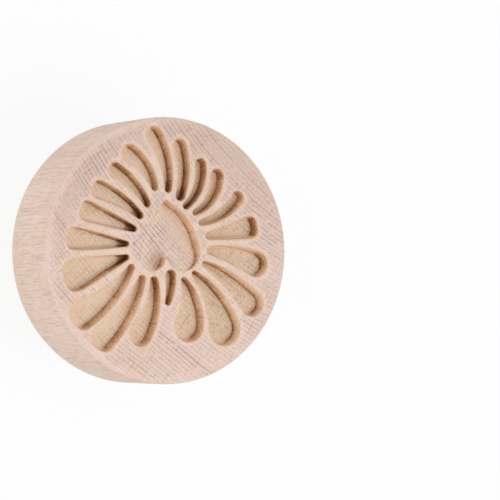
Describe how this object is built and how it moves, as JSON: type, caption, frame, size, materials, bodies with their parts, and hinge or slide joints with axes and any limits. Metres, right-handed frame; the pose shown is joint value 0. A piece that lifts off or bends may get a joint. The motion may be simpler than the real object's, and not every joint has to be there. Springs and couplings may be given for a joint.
{
  "type": "cookie stamp",
  "caption": "Round wooden cookie stamp: a thick beech head with a flower carved into its face, and a short turned grip doweled and glued to its back.",
  "frame": {"origin": "centre of the flat end of the grip, on the surface that the stamp stands on", "axes": "+Z along the turning axis and out of the carved face, +Y towards the point of the flower's heart"},
  "size_m": [0.08, 0.08, 0.0565],
  "materials": {
    "head_beech": "bare sanded beech, matt, with end grain on the carved face",
    "knob_beech": "bare beech, matt, slightly rough from turning",
    "dowel_beech": "bare fluted beech dowel"
  },
  "bodies": {
    "root": {"stamp_head": "head_beech", "knob": "knob_beech", "dowel_pin": "dowel_beech"}
  },
  "joints": []
}
